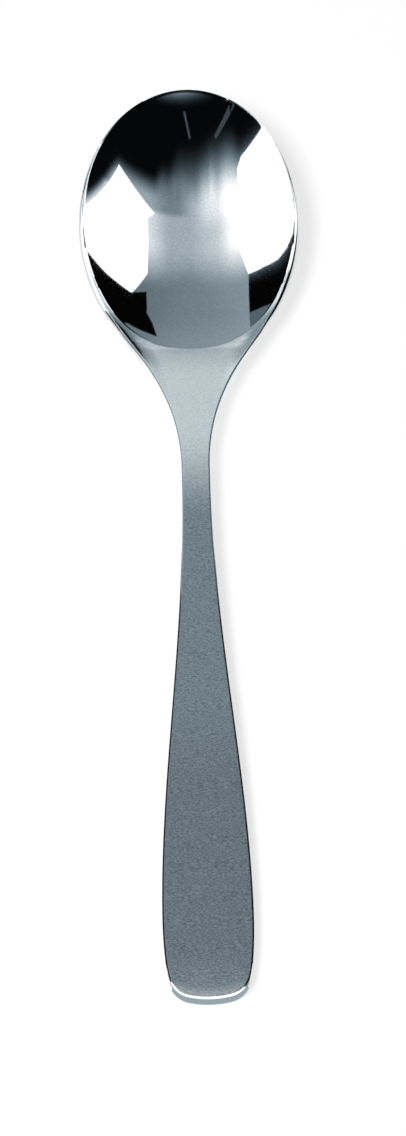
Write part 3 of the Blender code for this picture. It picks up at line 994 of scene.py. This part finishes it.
# The fade to the viewer's side, which starts later on the right and left and is shorter at the sides.
FADE_START, RIGHT_DELAY, LEFT_DELAY = 1.5, 2, 2.4
FADE_LENGTH, RIGHT_CUT, FAR_RIGHT_CUT, FAR_LEFT_CUT = 28, 10.5, 6, 4

# A line through a corner of the right softbox. Past it the room is dark.
DARK_CORNER, DARK_NORMAL, DARK_STEP = (52, -6.5), (0.806, -0.591), (0, 4)

# Faint upright streaks where the viewer's side gets dark: place, half width and strength of each.
STREAKS = [(11, 1.8, 0.09), (4, 1.4, 0.05), (-6, 2.2, -0.06),
           (-12, 2.4, 0.07), (-18.5, 1.5, 0.12), (-24, 2.2, -0.07)]
STREAK_FRONT, STREAK_BACK = (-34, 10), (-4, 14)


def ramp(value, start, length):
    """0 below the start, 1 past the length, with a soft rise between."""
    return smooth_step((value - start) / length)


def streak_gain(across, along):
    window = ramp(along, *STREAK_FRONT) * ramp(-along, *STREAK_BACK)
    gains = [gain * exp(-((across - place) / width) ** 2) for place, width, gain in STREAKS]
    return 1 + window * sum(gains)


def room_level(across, along):
    """Level of the lit room: the wall behind the tip, and the roof."""
    wall = WALL - WALL_LEAN * across + LOW_WALL_GAIN * ramp(along, *LOW_WALL)
    roof = ROOF + ROOF_LEAN * max(0, -across)
    roof += LEFT_GAIN * ramp(-across, *LEFT_ROOF) + RIGHT_GAIN * ramp(across, *RIGHT_ROOF)
    roof += FRONT_GLOW * ramp(-across, *GLOW_SIDE) * ramp(-along, *GLOW_FRONT)
    return min(mix(roof, wall, ramp(along, *ROOF_TO_WALL)), BRIGHTEST)


def viewer_shade(across, along):
    """1 in the lit room, falling to 0 on the viewer's side."""
    right = ramp(across, *RIGHT_FROM)
    left = ramp(-across, *LEFT_FROM) * (1 - ramp(-across, *LEFT_TO))
    fade_start = FADE_START - RIGHT_DELAY * right - LEFT_DELAY * left
    fade_length = FADE_LENGTH - RIGHT_CUT * right
    fade_length -= FAR_RIGHT_CUT * ramp(across, *FAR_RIGHT) + FAR_LEFT_CUT * ramp(-across, *FAR_LEFT)
    edge = ramp(across, *EDGE_SIDE) * ramp(-along, *EDGE_FRONT) * ramp(along, *EDGE_BACK)
    return (1 - ramp(-along, -fade_start, fade_length)) * (1 - EDGE_DEPTH * edge)


def dome_level(across, along):
    angles = (across, along)
    past_line = sum(n * (a - c) for n, a, c in zip(DARK_NORMAL, angles, DARK_CORNER))
    lit = room_level(*angles) * viewer_shade(*angles) * streak_gain(*angles)
    low_front = min(1.0, max(0.0, (-along - LOW_FRONT_START) / LOW_FRONT_RISE)) ** 2
    low_front *= (1 - ramp(abs(across), *LOW_FRONT_SIDE)) * (LOW_FRONT + LOW_FRONT_LEAN * across)
    return DARKEST + lit * (1 - ramp(past_line, *DARK_STEP)) + low_front


def dome_angles(i, j):
    return mix(-DOME_ACROSS, DOME_ACROSS, i / DOME_CELLS), mix(-DOME_ALONG, DOME_ALONG, j / DOME_CELLS)


dome = laid_grid(DOME_CELLS, DOME_CELLS, lambda i, j: card_place(*dome_angles(i, j), DOME_DISTANCE))
row_length = DOME_CELLS + 1
dome_levels = [dome_level(*dome_angles(n % row_length, n // row_length)) for n in range(row_length ** 2)]
finish_card(dome, "dome", dome_levels)
print("dome:", len(dome_levels), "points")

# %% [markdown]
# ## Softboxes, flags and stands
# Two big softboxes give the white patches on the bowl's sides, and black flags behind them give the dark
# patches near the heel. Light washes over the left flag's border, so it has a fringe that fades to black,
# and a grey skirt hangs below it. Thin pale strips are the stands that show in the dark part. Area lamps
# would light the floor as well, so each of these is a card, drawn by its corners.

# %% Softboxes, flags and stands
SOFTBOX_LEVEL = 270               # more than white, so that the patches stay white in a tinted mirror
BLACK = 0
SOFTBOX_DISTANCE, FLAG_DISTANCE, STAND_DISTANCE = 0.40, 0.38, 0.36
LEFT_SOFTBOX = [(-90, -22.6), (-60, -16.6), (-41.5, -12.6), (-38.5, -9), (-39, 0), (-40, 8), (-40.4, 27),
                (-45.4, 36.2), (-64, 39), (-90, 30)]
RIGHT_SOFTBOX = [(27, 5.5), (52, -6.5), (74, 23.5), (80, 38), (68, 39.5), (46, 44.9), (34, 32), (33, 8)]
FRINGE = [(-45.2, 35.7), (-55.2, 36.2), (-63.8, 37.4), (-69, 36.6), (-73, 34), (-84, 31)]
FRINGE_LEVEL = 80
FRINGE_DEPTH = 7                  # degrees from the flag's border to where it is black
FRINGE_ROWS = 10
LEFT_FLAG = [(-41.2, 54.4), (-42.5, 47.3)] + FRINGE + [(-84, 53.6), (-50, 53.6)]
LEFT_SKIRT = [(-42, 50), (-84, 50), (-84, 72), (-50, 78), (-37.5, 68)]
SKIRT_LEVEL = 97
RIGHT_FLAG = [(45, 42.6), (54, 40.4), (68.5, 37.9), (86, 34.5), (86, 50), (70, 56), (51, 60), (43, 59)]
RIGHT_FLAG_TIP = [(33.8, 40.7), (45.1, 42.6), (43.5, 59.2), (17.6, 67.6), (24.4, 58.6), (31.3, 52)]
MIDDLE_STAND = [(-3.5, -25.4), (-1.9, -25.4), (2.0, -33.9), (0.4, -33.9)]
LEFT_STAND = [(-38.6, -31), (-36.8, -33.6), (-21.5, -24.4), (-22.9, -23)]
MIDDLE_STAND_LEVEL, LEFT_STAND_LEVEL = 75, 70


def fringe_place(i, j):
    across, along = FRINGE[i]
    return card_place(across, along + FRINGE_DEPTH * j / FRINGE_ROWS, STAND_DISTANCE)


sky_card("left_softbox", LEFT_SOFTBOX, SOFTBOX_DISTANCE, SOFTBOX_LEVEL)
sky_card("right_softbox", RIGHT_SOFTBOX, SOFTBOX_DISTANCE, SOFTBOX_LEVEL)
sky_card("left_flag", LEFT_FLAG, FLAG_DISTANCE, BLACK)
sky_card("left_skirt", LEFT_SKIRT, SOFTBOX_DISTANCE, SKIRT_LEVEL)
sky_card("right_flag", RIGHT_FLAG, FLAG_DISTANCE, BLACK)
sky_card("right_flag_tip", RIGHT_FLAG_TIP, FLAG_DISTANCE, BLACK)
sky_card("stand_0", MIDDLE_STAND, STAND_DISTANCE, MIDDLE_STAND_LEVEL)
sky_card("stand_1", LEFT_STAND, STAND_DISTANCE, LEFT_STAND_LEVEL)
fringe = laid_grid(len(FRINGE) - 1, FRINGE_ROWS, fringe_place)
fringe_levels = [FRINGE_LEVEL * (1 - j / FRINGE_ROWS) ** 2 for j in range(FRINGE_ROWS + 1)]
finish_card(fringe, "left_flag_fringe", [level for level in fringe_levels for _ in FRINGE])
print("softboxes, flags and stands made")

# %% [markdown]
# ## Cards beside the handle
# The spoon's rounded edges mirror what stands close beside them. Black flags and black strips on the
# floor draw the handle's edges, grey cards and pale strips do it for the neck, and a white card in front
# lights the round of the end. Below it lies a grey sheet that is painted shade: it stands for the shaded
# floor in front of the end, which the end's face mirrors. Lines painted on the steel would be quicker to
# make, but they would stay where they are when the view changes.

# %% Cards beside the handle
SIDE_FLAG_X = 35 * MM
SIDE_FLAG_Y = (-62 * MM, 20 * MM)
SIDE_FLAG_HEIGHT = 60 * MM
STRIP_GAP = 0.3 * MM              # from the outline to the strips on the floor
STRIP_Y = (-55 * MM, 0.0)         # the black strips lie between these places
NECK_STRIP_Y = (0.0, 24 * MM)     # and the neck's own strips between these
STRIP_LIFT = 0.05 * MM
STRIP_POINTS = 24
NECK_CARD_X = 14 * MM
NECK_CARD_Y = (-2 * MM, 26 * MM)
NECK_CARD_HEIGHT = 30 * MM
NECK_CARD_LEVELS = {-1: 140, 1: 80}  # on the left, -1, and on the right, 1
# The right strip is darker: painted shadow, for the floor in the spoon's shadow beside the neck.
NECK_STRIP_LEVELS = {-1: 240, 1: 215}
FRONT_CARD_Y = -95 * MM
FRONT_CARD_LEAN = 13 * MM
FRONT_CARD_HALF_WIDTH = 35 * MM
FRONT_CARD_HEIGHT = 120 * MM
FRONT_SIDE_Y = {-1: -62 * MM, 1: -74 * MM}  # the front card's side walls reach back to here
FRONT_SIDE_HEIGHT = 60 * MM
FRONT_FLOOR_SHADE = 150
FLOOR_UNDER_END = 2 * MM          # the painted floor shade reaches this far under the end


def upright_card(name, first, second, height, level, lean=0.0):
    """A rectangle that stands on the floor between two plan points and leans towards +Y."""
    top = [(x, y + lean, height) for x, y in (second, first)]
    polygon_card(name, [(*first, 0), (*second, 0)] + top, level)


def half_width(y):
    return bowl_half_width(y) if y > JOINT_Y else handle_half_width(y)


def floor_strip(name, side, near, far, reach, level):
    """A strip on the floor, from the spoon's outline out to this reach."""
    ys = [mix(near, far, i / STRIP_POINTS) for i in range(STRIP_POINTS + 1)]
    inner = [(side * (half_width(y) + STRIP_GAP), y, STRIP_LIFT) for y in ys]
    outer = [(side * reach, y, STRIP_LIFT) for y in (far, near)]
    polygon_card("%s_%d" % (name, side), inner + outer, level)


front_left, front_right = ((side * FRONT_CARD_HALF_WIDTH, FRONT_CARD_Y) for side in (-1, 1))
for side, front_corner in ((-1, front_left), (1, front_right)):
    near, far = ((side * SIDE_FLAG_X, y) for y in SIDE_FLAG_Y)
    upright_card("side_flag_%d" % side, near, far, SIDE_FLAG_HEIGHT, BLACK)
    floor_strip("floor_strip", side, *STRIP_Y, SIDE_FLAG_X, BLACK)
    back = (front_corner[0], FRONT_SIDE_Y[side])
    upright_card("front_side_%d" % side, back, front_corner, FRONT_SIDE_HEIGHT, SOFTBOX_LEVEL)
    near, far = ((side * NECK_CARD_X, y) for y in NECK_CARD_Y)
    upright_card("neck_card_%d" % side, near, far, NECK_CARD_HEIGHT, NECK_CARD_LEVELS[side])
    floor_strip("neck_strip", side, *NECK_STRIP_Y, NECK_CARD_X, NECK_STRIP_LEVELS[side])
upright_card("front_card", front_left, front_right, FRONT_CARD_HEIGHT, SOFTBOX_LEVEL, FRONT_CARD_LEAN)
# Painted shade: a grey sheet on the floor in front of the end, for the floor's shade there as the end's
# face mirrors it.
under_end = [(x, END_Y + FLOOR_UNDER_END) for x, _ in (front_right, front_left)]
polygon_card("front_floor_shade", [(*p, STRIP_LIFT) for p in [front_left, front_right] + under_end], FRONT_FLOOR_SHADE)
print("cards beside the handle made")

# %% [markdown]
# ## Camera
# The camera looks down on the spoon from the handle's end, a little turned, with a long lens. It could be
# moved by hand until the picture fits, but then every try would be a guess. Here its tilt, its turn and
# its distance are named values, and the lens follows from the size that the spoon has in the picture.

# %% Camera
PHOTO_HEIGHT = 1136
FOCAL_PIXELS = 4816.9             # the lens, in pixels of the photo
SENSOR = 36.0
CLIP_START, CLIP_END = 0.01, 20
CAMERA_TILT = radians(22)
CAMERA_ROLL = radians(1.6115)
CAMERA_DISTANCE = 0.60
CAMERA_TARGET = Vector((0.565, -4.19, 3.0)) * MM


def make_camera():
    data = bpy.data.cameras.new("camera")
    data.sensor_fit = "VERTICAL"
    data.sensor_height = SENSOR
    data.lens = FOCAL_PIXELS / PHOTO_HEIGHT * SENSOR
    data.clip_start, data.clip_end = CLIP_START, CLIP_END
    camera = bpy.data.objects.new("camera", data)
    bpy.context.scene.collection.objects.link(camera)
    back = Vector((0, -sin(CAMERA_TILT), cos(CAMERA_TILT)))
    up = Vector((0, cos(CAMERA_TILT), sin(CAMERA_TILT)))
    across = Vector((1, 0, 0))
    right = across * cos(CAMERA_ROLL) - up * sin(CAMERA_ROLL)
    top = across * sin(CAMERA_ROLL) + up * cos(CAMERA_ROLL)
    camera.matrix_world = Matrix((right, top, back)).transposed().to_4x4()
    camera.location = CAMERA_TARGET + back * CAMERA_DISTANCE
    bpy.context.scene.camera = camera
    print("camera: %.0f mm lens at %.2f m" % (data.lens, CAMERA_DISTANCE))


make_camera()
bpy.context.scene.view_settings.view_transform = "Standard"

# %% [markdown]
# ## End
# The skins must not change the spoon's size. The boxes of the frame's solids are printed near the top.

# %% End
print("end of the scene script")
